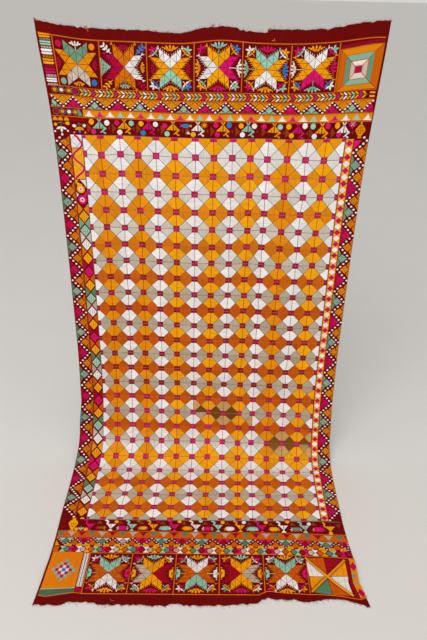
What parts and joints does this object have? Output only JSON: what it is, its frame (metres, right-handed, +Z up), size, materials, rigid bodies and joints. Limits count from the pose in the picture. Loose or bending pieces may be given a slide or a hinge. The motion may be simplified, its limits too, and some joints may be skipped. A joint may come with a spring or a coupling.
{
  "type": "phulkari",
  "caption": "Handspun cotton wall cloth covered in silk floss embroidery, hung by its top edge, curving forward at the foot and lying out over the floor.",
  "frame": {"origin": "middle of the top edge, in the middle of the cloth's thickness, where the cloth is held up", "axes": "+Z up, the embroidered face towards -Y, +X to the viewer's right; the foot lies on the floor towards -Y"},
  "size_m": [1.2558, 0.9653, 1.8984],
  "materials": {
    "maroon_cotton": "matt handspun plain weave, dark maroon red",
    "silk_floss": "untwisted silk floss in long darning stitches, with a sheen that turns with the stitch; gold, white, magenta, crimson, green and blue"
  },
  "bodies": {
    "root": {"panel_left": "maroon_cotton", "panel_middle": "maroon_cotton", "panel_right": "maroon_cotton"}
  },
  "joints": []
}
